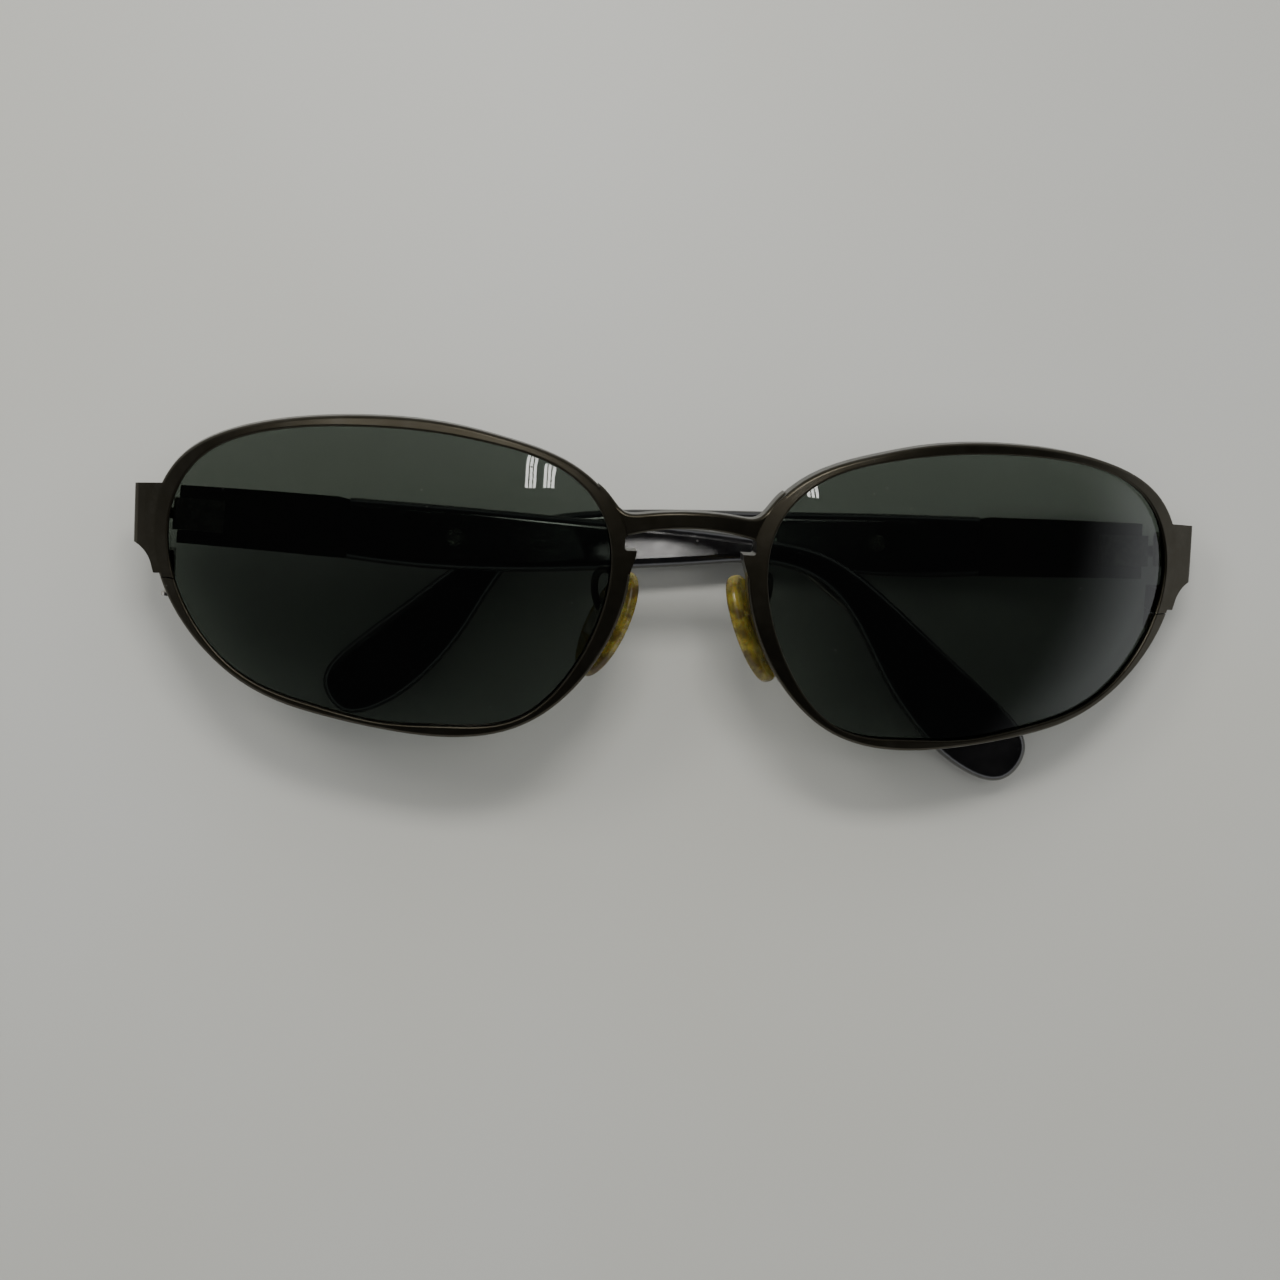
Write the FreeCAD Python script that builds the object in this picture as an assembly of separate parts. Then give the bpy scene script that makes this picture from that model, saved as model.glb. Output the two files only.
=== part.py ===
import FreeCAD, Part
import math
import os

from FreeCAD import Placement, Rotation, Vector

# Metal-framed wrap sunglasses, folded, lying on their right temple with the lenses up.
# Millimetres and degrees.
#
# Three working frames:
#   front frame   X to the right as seen from in front, Y up on the wearer, Z out of the front.
#                 Origin between the lenses, level with their middle, at the foremost lens point plus SET_BACK.
#   hinge frame   upright like the temples, origin on a hinge screw. An end piece's own frame is like it.
#   temple frame  X along the folded temple, Y up along the hinge screw, Z towards the lenses.
# Left-hand pieces are modelled, and right-hand ones are their mirror images.

# Front
LENS_WIDTH = 56.4          # visible lens, side to side
LENS_HEIGHT = 38.0         # visible lens, top to bottom
LENS_GAP = 20.4            # between the two visible lenses
LENS_RADIUS = 90.0         # outer curve of the lens
LENS_THICK = 1.8
LENS_SEAT = 0.5            # how far the lens goes into the rim's groove
FIT_GAP = 0.03             # between pieces that are seated in each other
WRAP_ANGLE = 11.0          # each lens turns outwards by this
SET_BACK = 2.0             # lens apex behind the front frame's origin
RIM_SIDE = 2.45            # rim's face at the sides
RIM_TOP = 1.45             # rim's face at top and bottom
RIM_SHIFT = 0.25           # rim's middle from the lens's, towards the nose
RIM_PROUD = 0.7            # rim in front of the lens
RIM_BACK = 0.6             # rim behind the lens
RIM_ROUND = 0.5            # rounding of the rim's outer edges
RIM_LIP = 0.25             # rounding of the rim's inner edges
RIM_SPLIT = 0.15           # saw cut where the rim opens to take its lens
SPLIT_HEIGHT = -2.4        # the saw cut, from the lens's middle

# Pull points of the left lens's and rim's outlines, as shares of half the width and half the height
LENS_SHAPE = [
    (0.99, -0.27), (1.03, 0.43), (0.78, 0.82), (0.44, 0.94), (-0.01, 1.03), (-0.93, 0.91),
    (-1.07, -0.02), (-0.72, -0.78), (-0.32, -0.91), (-0.01, -1.02), (0.29, -0.99), (0.68, -1.0)]
RIM_SHAPE = [
    (0.94, -0.4), (1.05, 0.3), (0.8, 0.77), (0.46, 0.91), (0.02, 1.05), (-0.98, 0.86),
    (-1.05, -0.11), (-0.65, -0.79), (-0.26, -0.92), (0.04, -0.99), (0.33, -1.02), (0.65, -0.91)]

# Bridge: a bar with a keyhole slot under it
BRIDGE_TOP = 10.3          # top of the bar at its middle, above the lens's middle
BRIDGE_HEIGHT = 2.2        # the bar at its middle
BRIDGE_ARCH = 0.6          # how far its top falls at the rims
SLOT_ARCH = 1.4            # how far its underside falls at the rims
SLOT_HALF = 8.5            # half the slot's width
SLOT_FLOOR = 4.9           # bottom of the slot, above the lens's middle
BRIDGE_THICK = 2.8
BRIDGE_FRONT = 0.5         # front of the bar at its middle
BRIDGE_ROUND = 0.4
JOIN_SLACK = 0.001         # faces of the bridge this close are taken as one

# Hinges
TAB_HEIGHT = 5.85          # end piece's middle above the lens's middle
HINGE_RISE = 0.4           # hinge above the end piece's middle
PLATE_THICK = 1.4          # end piece and metal temple
PLATE_HEIGHT = 7.6
PLATE_OFFSET = 1.9         # plate's inner face outboard of the hinge screw
END_REACH = 2.15           # end piece beyond the rim
END_DEPTH = 5.8            # hinge screw behind the end piece's front
TAB_INSET = 0.6            # how far the tab runs on over the rim, past the hinge screw's line
TAB_THICK = 1.8
END_CORNER = 1.1           # outer bend of the end piece
GUSSET_DROP = 7.8          # foot of the end piece on the rim, below the hinge's middle
OPEN_GAP = 0.3             # between end piece and temple when open
TEMPLE_START = 2.3         # temple's front end from the screw
KNUCKLE_RADIUS = 1.25
KNUCKLE_HALF = 0.7         # half the middle knuckle's height
KNUCKLE_GAP = 0.05         # between the knuckles
HINGE_HALF = 2.1           # half the hinge's height
LEAF_THICK = 0.9
FRONT_LEAF = 2.2           # the front leaf's reach from the screw
LEAF_SEAT = 0.3            # the front leaf's stock that is taken off to fit the end piece
LEAF_LENGTH = 6.5
SCREW_RADIUS = 0.6
SCREW_PLAY = 0.05          # radial play of a screw in a bore
HEAD_RADIUS = 1.15
HEAD_HEIGHT = 0.5
SLOT_WIDTH = 0.3           # screwdriver slots
SLOT_DEPTH = 0.25

# Rim lock behind each end piece
LOCK_INSET = 1.1           # from the rim's outer edge
LOCK_WIDTH = 2.4
LOCK_DEPTH = 2.4
LOCK_UPPER = 3.2
LOCK_LOWER = 2.6
LOCK_SCREW_RADIUS = 0.5

# Nose pads
PAD_LENGTH = 15.0
PAD_WIDTH = 7.4
PAD_THICK = 1.7
PAD_SIDE = 9.6             # pad's middle from the middle of the nose
PAD_DROP = 5.7             # pad's middle below the lens's middle
PAD_BACK = 7.6             # pad's middle behind the front frame's origin
PAD_SPLAY = 58.0           # pad's face turned towards the nose, from facing back
PAD_SLANT = 23.0           # pad's foot turned outwards
PAD_BOX = (4.2, 2.6, 1.3)  # length, width, depth of the metal box behind the pad
PAD_WIRE_RADIUS = 0.5
PAD_LUG_RADIUS = 0.8
PAD_SCREW_RADIUS = 0.4

# Temples
METAL_LENGTH = 24.5        # metal part that shows
SHOULDER = 22.9            # small step in its top edge, just in front of the sleeve
SHOULDER_STEP = 0.3
SLEEVE_THICK = 3.2
SLEEVE_HALF = 4.15         # half the sleeve's height at its front
BOW_START = 9.0
BOW_OUT = 2.4              # how far the temple swings outwards behind the hinge
EAR_BEND = {"left": 82.5, "right": 80.2}  # from the hinge screw; ear ends are bent by hand
HOOK_SIZE = {"left": 1.0, "right": 0.92}  # as a share of the tip outline
NECK_TOP = 3.1
NECK_FOOT = -0.3
# Tip outline, from the bend: over the top, round the end and back under to the neck
TIP_SHAPE = [
    (7.0, 1.9), (14.5, -2.3), (25.6, -11.0), (33.6, -17.4), (37.3, -23.0), (34.5, -27.3),
    (29.0, -26.6), (23.2, -22.6), (16.6, -14.8), (12.0, -7.3), (7.5, -2.6),
]
SLEEVE_ROUND = 1.3
TANG_LENGTH = 17.0         # metal that goes on inside the sleeve
TANG_HALF = 1.7
TANG_THICK = 0.8
CORE_RADIUS = 0.6
CORE_END = 28.0            # core wire goes this far past the bend
CORE_LEVEL = 1.4           # core wire's height at the bend
BEND_RADIUS = 14.0
BEND_ANGLE = 38.0
RIVET_AT = 38.8
RIVET_RADIUS = 0.7

# How the folded glasses lie
PANTOSCOPIC = 9.64         # front leans forwards of the temples by this
STACK_TILT = 3.5           # the front's left end is higher by this
LEFT_DROOP = 2.5           # folded temples point down by these
RIGHT_DROOP = 0.3
STACK_GAP = 0.5            # between the folded temples where they cross

HALF_LENS = LENS_WIDTH / 2
HALF_TALL = LENS_HEIGHT / 2
LENS_MIDDLE = LENS_GAP / 2 + HALF_LENS
FRONT_CURVE = LENS_RADIUS + RIM_PROUD
BACK_CURVE = LENS_RADIUS - LENS_THICK - RIM_BACK
RIM_EDGE = LENS_MIDDLE + HALF_LENS + RIM_SIDE
HINGE_SIDE = RIM_EDGE + END_REACH - PLATE_OFFSET - PLATE_THICK
DEEP = 60.0                # longer than any cut
UP = Vector(0, 1, 0)
ASIDE = Vector(1, 0, 0)
AHEAD = Vector(0, 0, 1)


def closed_curve(shape, half_width, half_height, middle):
    """A smooth closed outline drawn inwards from its pull points, as a cubic B-spline."""
    pulls = [middle + Vector(x * half_width, y * half_height, 0) for x, y in shape]
    curve = Part.BSplineCurve()
    curve.buildFromPolesMultsKnots(pulls, [1] * (len(pulls) + 1), range(len(pulls) + 1), True, 3)
    return Part.Wire(curve.toShape())


def column(wire):
    """The outline carried straight through the front."""
    face = Part.Face(wire)
    face.translate(Vector(0, 0, -DEEP))
    return face.extrude(Vector(0, 0, 2 * DEEP))


def curve_centre():
    """Middle of the left lens's sphere."""
    turn = math.radians(WRAP_ANGLE)
    apex = Vector(-LENS_MIDDLE, 0, -SET_BACK)
    return apex - Vector(-math.sin(turn), 0, math.cos(turn)) * LENS_RADIUS


def ball(radius):
    """A sphere about the lens's centre of curvature, its seam turned to the back."""
    whole = Part.makeSphere(radius, curve_centre(), UP)
    return whole.rotate(curve_centre(), UP, 180)


def puck(wire, outer, inner):
    """A curved plate: the outline between two spheres."""
    return column(wire).common(ball(outer)).cut(ball(inner))


def lens_outline(grow):
    return closed_curve(LENS_SHAPE, HALF_LENS + grow, HALF_TALL + grow, Vector(-LENS_MIDDLE, 0, 0))


def rim_outline():
    middle = Vector(RIM_SHIFT - LENS_MIDDLE, 0, 0)
    return closed_curve(RIM_SHAPE, HALF_LENS + RIM_SIDE, HALF_TALL + RIM_TOP, middle)


def box(low, high):
    size = high - low
    return Part.makeBox(size.x, size.y, size.z, low)


def rounded(solid, radius, wanted):
    return solid.makeFillet(radius, [edge for edge in solid.Edges if wanted(edge)])


def rim_blank():
    """The rim before its opening is cut, with sharp edges."""
    return puck(rim_outline(), FRONT_CURVE, BACK_CURVE)


def soft_blank():
    """The rim before its opening is cut, with rounded edges."""
    return rounded(rim_blank(), RIM_ROUND, lambda edge: edge.Length > 20)


def placed(shape, place):
    moved = shape.copy()
    moved.Placement = place * moved.Placement
    return moved


def handed(shape, side):
    """A left-hand piece, or its mirror image for the right."""
    if side == "left":
        return shape
    return shape.mirror(Vector(0, 0, 0), ASIDE)


def cylinder(radius, low, high, across=0.0, depth=0.0):
    """A rod along Y."""
    return Part.makeCylinder(radius, high - low, Vector(across, low, depth), UP)


def sheet(points, low, high):
    """A flat outline in X and Y, as a plate from Z low to Z high."""
    wire = Part.makePolygon([Vector(x, y, low) for x, y in points + points[:1]])
    return Part.Face(wire).extrude(Vector(0, 0, high - low))


def surface_level(across, height, radius):
    """Z of the left lens's sphere, grown to this radius."""
    middle = curve_centre()
    flat = (across - middle.x) ** 2 + (height - middle.y) ** 2
    return middle.z + math.sqrt(radius ** 2 - flat)


# ---- rims, lenses and bridge, in the front frame ----

def slot_cutter():
    """The keyhole slot under the bridge, with an arched top and rounded feet."""
    top = BRIDGE_TOP - BRIDGE_HEIGHT
    side = top - SLOT_ARCH
    points = [Vector(-SLOT_HALF, side, 0), Vector(0, top, 0), Vector(SLOT_HALF, side, 0)]
    arch = Part.Arc(*points).toShape()
    foot_left = Vector(-SLOT_HALF, SLOT_FLOOR, 0)
    foot_right = Vector(SLOT_HALF, SLOT_FLOOR, 0)
    sides = Part.makePolygon([points[2], foot_right, foot_left, points[0]])
    block = column(Part.Wire([arch] + sides.Edges))
    corners = [e for e in block.Edges if abs(e.BoundBox.YMax - e.BoundBox.YMin) < 1e-6
               and abs(e.BoundBox.XMax - e.BoundBox.XMin) < 1e-6]
    return block.makeFillet(BRIDGE_ROUND, corners)


def lug():
    """The small step on the rim under the end of the slot."""
    points = [(-SLOT_HALF - 1.5, SLOT_FLOOR), (-SLOT_HALF + 1.6, SLOT_FLOOR), (-SLOT_HALF + 1.5, SLOT_FLOOR - 0.8),
              (-SLOT_HALF + 0.8, SLOT_FLOOR - 3.0), (-SLOT_HALF - 1.5, SLOT_FLOOR - 3.0)]
    wire = Part.makePolygon([Vector(x, y, 0) for x, y in points + points[:1]])
    return puck(wire, FRONT_CURVE, BACK_CURVE)


def rim_ring():
    ring = soft_blank().cut(column(lens_outline(0)))
    opening = lens_outline(0)

    def inner(edge):
        point = edge.valueAt((edge.FirstParameter + edge.LastParameter) / 2)
        return edge.Length > 20 and opening.distToShape(Part.Vertex(point.x, point.y, 0))[0] < 1e-3

    return rounded(ring, RIM_LIP, inner)


def split_cut():
    return box(Vector(-DEEP * 2, SPLIT_HEIGHT - RIM_SPLIT / 2, -DEEP),
               Vector(-LENS_MIDDLE - HALF_LENS / 2, SPLIT_HEIGHT + RIM_SPLIT / 2, DEEP))


def groove():
    seat = lens_outline(LENS_SEAT + FIT_GAP)
    return puck(seat, LENS_RADIUS + FIT_GAP, LENS_RADIUS - LENS_THICK - FIT_GAP)


def rim():
    body = rim_ring().fuse(lug().cut(soft_blank()))
    return body.cut(groove()).cut(slot_cutter()).cut(split_cut())


def lens():
    return puck(lens_outline(LENS_SEAT), LENS_RADIUS, LENS_RADIUS - LENS_THICK)


def bridge():
    """The bar between the rims, bowed forwards, with its ends fitted to them."""
    reach = SLOT_HALF + 3.5
    edge = SLOT_HALF + 0.1
    fall = BRIDGE_TOP - BRIDGE_ARCH
    top = Part.BSplineCurve()
    top.interpolate(Points=[
        Vector(-reach, fall + 3.4, 0), Vector(-edge - 1.5, fall + 1.5, 0), Vector(-edge, fall + 0.1, 0),
        Vector(-edge + 2.5, fall + 0.1, 0), Vector(0, BRIDGE_TOP, 0), Vector(edge - 2.5, fall + 0.1, 0),
        Vector(edge, fall + 0.1, 0), Vector(edge + 1.5, fall + 1.5, 0), Vector(reach, fall + 3.4, 0)])
    foot = SLOT_FLOOR + 1.2
    sides = Part.makePolygon([Vector(reach, fall + 3.4, 0), Vector(reach, foot, 0), Vector(-reach, foot, 0),
                              Vector(-reach, fall + 3.4, 0)])
    outline = column(Part.Wire([top.toShape()] + sides.Edges))
    level = surface_level(-edge - 1, fall, FRONT_CURVE)
    swing = (BRIDGE_FRONT - level) * (reach / (edge + 1)) ** 2
    front = [Vector(-reach, 0, BRIDGE_FRONT - swing), Vector(0, 0, BRIDGE_FRONT),
             Vector(reach, 0, BRIDGE_FRONT - swing)]
    back = [point - Vector(0, 0, BRIDGE_THICK) for point in front]
    band = Part.Wire([Part.Arc(*front).toShape(), Part.makeLine(front[2], back[2]),
                      Part.Arc(*back).toShape(), Part.makeLine(back[0], front[0])])
    face = Part.Face(band)
    face.translate(Vector(0, -DEEP, 0))
    bar = outline.common(face.extrude(Vector(0, 2 * DEEP, 0))).cut(slot_cutter())
    bar = rounded(bar, BRIDGE_ROUND, lambda e: e.BoundBox.ZLength < 4 and e.BoundBox.XLength > 6)
    corner_fill = rim_blank().common(outline).cut(slot_cutter()).cut(soft_blank())
    for half in ("left", "right"):
        bar = bar.cut(handed(column(rim_outline()), half)).fuse(handed(corner_fill, half), JOIN_SLACK)
    return bar.removeSplitter()


# ---- end pieces and hinges ----

def shell_ball(side, radius):
    """A sphere about the lens's centre of curvature, in an end piece's frame."""
    middle = curve_centre()
    if side == "right":
        middle.x = -middle.x
    middle = (corner_place(side).inverse() * front_place()).multVec(middle)
    if side == "right":
        middle.x = -middle.x
    return Part.makeSphere(radius, middle, UP).rotate(middle, UP, 180)


def end_piece(side):
    """A tab flush with the rim's front that turns the corner and runs back to the hinge."""
    out = PLATE_OFFSET + PLATE_THICK
    half = PLATE_HEIGHT / 2
    bend = Part.Arc(Vector(-out, -half, 0), Vector(-out + 1.5, -half - 1.2, 0), Vector(-out + 2.3, -half - 2.6, 0))
    corners = [Vector(-out + 2.3, -half - 2.6, 0), Vector(-out + 2.7, -GUSSET_DROP, 0),
               Vector(TAB_INSET, -GUSSET_DROP, 0), Vector(TAB_INSET, half, 0), Vector(-out, half, 0),
               Vector(-out, -half, 0)]
    outline = column(Part.Wire([bend.toShape()] + Part.makePolygon(corners).Edges))
    skin = shell_ball(side, FRONT_CURVE)
    tab = outline.common(skin).cut(shell_ball(side, FRONT_CURVE - TAB_THICK))
    tab = tab.common(box(Vector(-DEEP, -DEEP, 0), Vector(DEEP, DEEP, DEEP)))
    back = OPEN_GAP - TEMPLE_START
    plate = box(Vector(-out, -half, back), Vector(-PLATE_OFFSET, half, DEEP)).common(skin)
    whole = tab.fuse(plate).removeSplitter()
    return rounded(whole, END_CORNER, lambda e: e.BoundBox.YLength > half and e.BoundBox.XMax < 0.1 - out
                   and e.BoundBox.ZMin > 1)


def bore(low, high):
    return cylinder(SCREW_RADIUS + SCREW_PLAY, low, high)


def front_leaf():
    """The hinge's front half: a leaf on the end piece with the upper and lower knuckles."""
    step = KNUCKLE_HALF + KNUCKLE_GAP
    outer = -PLATE_OFFSET - LEAF_SEAT
    leaf = box(Vector(outer, -HINGE_HALF, 0.3), Vector(LEAF_THICK - PLATE_OFFSET, HINGE_HALF, FRONT_LEAF))
    leaf = leaf.cut(cylinder(KNUCKLE_RADIUS + 3 * KNUCKLE_GAP, -step, step))
    for low, high in ((step, HINGE_HALF), (-HINGE_HALF, -step)):
        web = box(Vector(outer, low, 0), Vector(0, high, KNUCKLE_RADIUS))
        leaf = leaf.fuse(web).fuse(cylinder(KNUCKLE_RADIUS, low, high))
    return leaf.cut(bore(-HINGE_HALF - 1, HINGE_HALF + 1)).removeSplitter()


def temple_leaf():
    """The hinge's temple half: a leaf with the middle knuckle, in the temple frame."""
    start = KNUCKLE_RADIUS + 0.45
    leaf = box(Vector(start, -HINGE_HALF, -PLATE_OFFSET),
               Vector(start + LEAF_LENGTH, HINGE_HALF, LEAF_THICK - PLATE_OFFSET))
    web = box(Vector(0, -KNUCKLE_HALF, -PLATE_OFFSET), Vector(start + 0.5, KNUCKLE_HALF, 0))
    leaf = leaf.fuse(web).fuse(cylinder(KNUCKLE_RADIUS, -KNUCKLE_HALF, KNUCKLE_HALF))
    return leaf.cut(bore(-HINGE_HALF, HINGE_HALF)).removeSplitter()


def slotted_screw(radius, length, head_radius, head_height):
    """A screw along -Y from its head's underside at the origin, with a screwdriver slot."""
    body = cylinder(radius, -length, 0).fuse(cylinder(head_radius, 0, head_height))
    slot = box(Vector(-head_radius, head_height - SLOT_DEPTH, -SLOT_WIDTH / 2),
               Vector(head_radius, head_height + 1, SLOT_WIDTH / 2))
    return body.cut(slot).removeSplitter()


def hinge_screw():
    screw = slotted_screw(SCREW_RADIUS, 2 * HINGE_HALF, HEAD_RADIUS, HEAD_HEIGHT)
    screw.translate(Vector(0, HINGE_HALF, 0))
    return screw


# ---- rim locks, in the front frame ----

def lock_place():
    """Middle of the rim lock at the saw cut."""
    across = LOCK_INSET + LOCK_WIDTH / 2 - RIM_EDGE
    level = surface_level(across, SPLIT_HEIGHT, BACK_CURVE)
    return Vector(across, SPLIT_HEIGHT, level)


def lock_block(low, high):
    """Half of the rim lock, from low to high about the saw cut, on the rim's back."""
    middle = lock_place()
    block = box(middle + Vector(-LOCK_WIDTH / 2, low, -LOCK_DEPTH),
                middle + Vector(LOCK_WIDTH / 2, high, LOCK_DEPTH))
    screw_hole = cylinder(LOCK_SCREW_RADIUS + FIT_GAP, -DEEP, DEEP, middle.x, middle.z - LOCK_DEPTH / 2)
    return block.common(column(rim_outline())).common(ball(BACK_CURVE)).cut(screw_hole)


def upper_lock():
    return lock_block(RIM_SPLIT / 2, LOCK_UPPER)


def lower_lock():
    return lock_block(-LOCK_LOWER, -RIM_SPLIT / 2)


def lock_screw():
    middle = lock_place()
    screw = slotted_screw(LOCK_SCREW_RADIUS, LOCK_LOWER + LOCK_UPPER - 0.6, LOCK_WIDTH / 2 - 0.3, 0.45)
    screw.rotate(Vector(0, 0, 0), AHEAD, 180)
    screw.translate(Vector(middle.x, SPLIT_HEIGHT - LOCK_LOWER, middle.z - LOCK_DEPTH / 2))
    return screw


# ---- nose pads, each built facing back and then turned to the nose ----

def pad_place():
    turn = Rotation(AHEAD, -PAD_SLANT) * Rotation(UP, -PAD_SPLAY)
    return Placement(Vector(-PAD_SIDE, -PAD_DROP, -PAD_BACK), turn)


def pad_lug_size():
    length, width, depth = PAD_BOX
    wall = 0.45
    return length - 2 * wall, width - 2 * wall, depth - wall


def pad_block(length, width, depth):
    """A block that stands on the pad's back."""
    level = PAD_THICK / 2
    return box(Vector(-width / 2, -length / 2, level), Vector(width / 2, length / 2, level + depth))


def pad_screw_hole(radius):
    level = PAD_THICK / 2 + PAD_BOX[2] / 2
    return Part.makeCylinder(radius, PAD_BOX[1], Vector(-PAD_BOX[1] / 2, 0, level), ASIDE)


def nose_pad():
    rim_of_pad = Part.Ellipse(Vector(0, 0, -PAD_THICK / 2), PAD_LENGTH / 2, PAD_WIDTH / 2).toShape()
    disc = Part.Face(Part.Wire(rim_of_pad)).extrude(Vector(0, 0, PAD_THICK))
    disc.rotate(Vector(0, 0, 0), AHEAD, 90)
    disc = rounded(disc, PAD_THICK * 0.38, lambda e: e.BoundBox.ZLength < 0.1)
    pad = disc.fuse(pad_block(*pad_lug_size())).cut(pad_screw_hole(PAD_SCREW_RADIUS + FIT_GAP))
    return placed(pad, pad_place())


def pad_box():
    length, width, depth = pad_lug_size()
    shell = pad_block(*PAD_BOX).cut(pad_block(length + 2 * FIT_GAP, width + 2 * FIT_GAP, depth + FIT_GAP))
    return placed(shell.cut(pad_screw_hole(PAD_SCREW_RADIUS + FIT_GAP)), pad_place())


def pad_screw():
    return placed(pad_screw_hole(PAD_SCREW_RADIUS), pad_place())


def pad_arm():
    """A bent wire from the back of the rim to the pad's box."""
    root = Vector(-LENS_GAP / 2 + 1.2, 1.0, -SET_BACK)
    tail = pad_place().multVec(Vector(0, PAD_BOX[0] / 2 - 1.0, PAD_THICK / 2 + PAD_BOX[2] / 2))
    sway = Vector((root.x + tail.x) / 2 - 1.6, root.y + 0.4, (root.z + tail.z) / 2 - 1.6)
    bend = Part.Arc(root, sway, tail)
    circle = Part.Circle(root, bend.tangent(bend.FirstParameter)[0], PAD_WIRE_RADIUS)
    wire = Part.Wire(bend.toShape()).makePipe(Part.Face(Part.Wire(circle.toShape())))
    whole_box = placed(pad_block(*PAD_BOX), pad_place())
    return wire.cut(soft_blank()).cut(whole_box)


# ---- temples, in the temple frame ----

def plate_level():
    return -PLATE_OFFSET - PLATE_THICK / 2


def bowed_band(thick):
    """The metal temple seen from above: straight at the hinge, then an S that swings it outwards."""
    mid = (BOW_START + METAL_LENGTH) / 2
    inner = []
    for level in (thick / 2, -thick / 2):
        base = plate_level() + level
        low = base - BOW_OUT
        run = (METAL_LENGTH - BOW_START) / 2
        radius = (run ** 2 + (BOW_OUT / 2) ** 2) / BOW_OUT
        angle = math.asin(run / radius) / 2
        first_radius = radius + level
        second_radius = radius - level
        first_middle = Vector(BOW_START, 0, plate_level() - radius)
        second_middle = Vector(METAL_LENGTH, 0, plate_level() - BOW_OUT + radius)
        start = Vector(BOW_START, 0, base)
        halfway = first_middle + Vector(math.sin(2 * angle), 0, math.cos(2 * angle)) * first_radius
        quarter = first_middle + Vector(math.sin(angle), 0, math.cos(angle)) * first_radius
        three_quarters = second_middle - Vector(math.sin(angle), 0, math.cos(angle)) * second_radius
        end = Vector(METAL_LENGTH, 0, low)
        inner.append((start, quarter, halfway, three_quarters, end))
    top, foot = inner
    edges = [Part.makeLine(Vector(TEMPLE_START, 0, top[0].z), top[0]), Part.Arc(*top[:3]).toShape(),
             Part.Arc(*top[2:]).toShape(), Part.makeLine(top[4], foot[4]),
             Part.Arc(foot[4], foot[3], foot[2]).toShape(), Part.Arc(foot[2], foot[1], foot[0]).toShape(),
             Part.makeLine(foot[0], Vector(TEMPLE_START, 0, foot[0].z)),
             Part.makeLine(Vector(TEMPLE_START, 0, foot[0].z), Vector(TEMPLE_START, 0, top[0].z))]
    face = Part.Face(Part.Wire(edges))
    face.translate(Vector(0, -DEEP, 0))
    return face.extrude(Vector(0, 2 * DEEP, 0))


def sleeve_level():
    """Middle of the sleeve's thickness."""
    return plate_level() - BOW_OUT


def tang(gap):
    level = sleeve_level()
    return box(Vector(METAL_LENGTH, -TANG_HALF - gap, level - TANG_THICK / 2 - gap),
               Vector(METAL_LENGTH + TANG_LENGTH + gap, TANG_HALF + gap, level + TANG_THICK / 2 + gap))


def temple_plate():
    """The metal front of a temple, with the step in its top edge and the tang inside the sleeve."""
    half = PLATE_HEIGHT / 2
    outline = [(TEMPLE_START, -half), (METAL_LENGTH, -SLEEVE_HALF + 0.1), (METAL_LENGTH, SLEEVE_HALF - SHOULDER_STEP),
               (SHOULDER, SLEEVE_HALF), (TEMPLE_START, half)]
    plate = sheet(outline, -DEEP, DEEP).common(bowed_band(PLATE_THICK))
    return plate.fuse(tang(0)).cut(rivet_hole(RIVET_RADIUS + FIT_GAP)).removeSplitter()


def sleeve_outline(side):
    """Side view of the plastic sleeve, from its front round the ear bend to the tip."""
    bend = EAR_BEND[side]
    top = [(METAL_LENGTH, SLEEVE_HALF), (bend * 0.5, SLEEVE_HALF), (bend * 0.7, SLEEVE_HALF - 0.2),
           (bend * 0.89, NECK_TOP + 0.6), (bend, NECK_TOP)]
    tip = [(bend + x * HOOK_SIZE[side], y * HOOK_SIZE[side]) for x, y in TIP_SHAPE]
    foot = [(bend + 1.0, NECK_FOOT), (bend * 0.89, NECK_FOOT - 0.7), (bend * 0.74, -2.6),
            (bend * 0.56, 0.1 - SLEEVE_HALF), (METAL_LENGTH, 0.1 - SLEEVE_HALF)]
    points = [Vector(x, y, 0) for x, y in top + tip + foot]
    curve = Part.BSplineCurve()
    curve.interpolate(Points=points)
    return Part.Wire([curve.toShape(), Part.makeLine(points[-1], points[0])])


def core_path(side):
    """Line, bend and line through the sleeve's middle."""
    level = sleeve_level()
    turn = math.radians(BEND_ANGLE)
    start = Vector(METAL_LENGTH + TANG_LENGTH + 2 * FIT_GAP, 0, level)
    lead = BEND_RADIUS * math.tan(turn / 2)
    corner = Vector(EAR_BEND[side] + 2.0, CORE_LEVEL, level)
    ahead = (corner - start).normalize()
    slope = math.atan2(ahead.y, ahead.x)
    away = Vector(math.cos(slope - turn), math.sin(slope - turn), 0)
    arc_start = corner - ahead * lead
    arc_end = corner + away * lead
    inward = Vector(math.sin(slope), -math.cos(slope), 0)
    centre = arc_start + inward * BEND_RADIUS
    middle = centre + (corner - centre).normalize() * BEND_RADIUS
    end = corner + away * CORE_END
    return Part.Wire([Part.makeLine(start, arc_start), Part.Arc(arc_start, middle, arc_end).toShape(),
                      Part.makeLine(arc_end, end)]), start, ahead


def core_wire(side, gap):
    path, start, ahead = core_path(side)
    circle = Part.Circle(start, ahead, CORE_RADIUS + gap)
    return path.makePipe(Part.Face(Part.Wire(circle.toShape())))


def rivet_hole(radius):
    level = sleeve_level()
    inner = level + SLEEVE_THICK / 2
    return Part.makeCylinder(radius, SLEEVE_THICK - 0.7, Vector(RIVET_AT, 0, inner), Vector(0, 0, -1))


def temple_screw(gap):
    """The screw that holds the sleeve on the tang, its head sunk in the inner face."""
    inner = sleeve_level() + SLEEVE_THICK / 2
    head = Part.makeCylinder(HEAD_RADIUS + gap, HEAD_HEIGHT + gap, Vector(RIVET_AT, 0, inner), Vector(0, 0, -1))
    return rivet_hole(RIVET_RADIUS + gap).fuse(head).removeSplitter()


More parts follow.
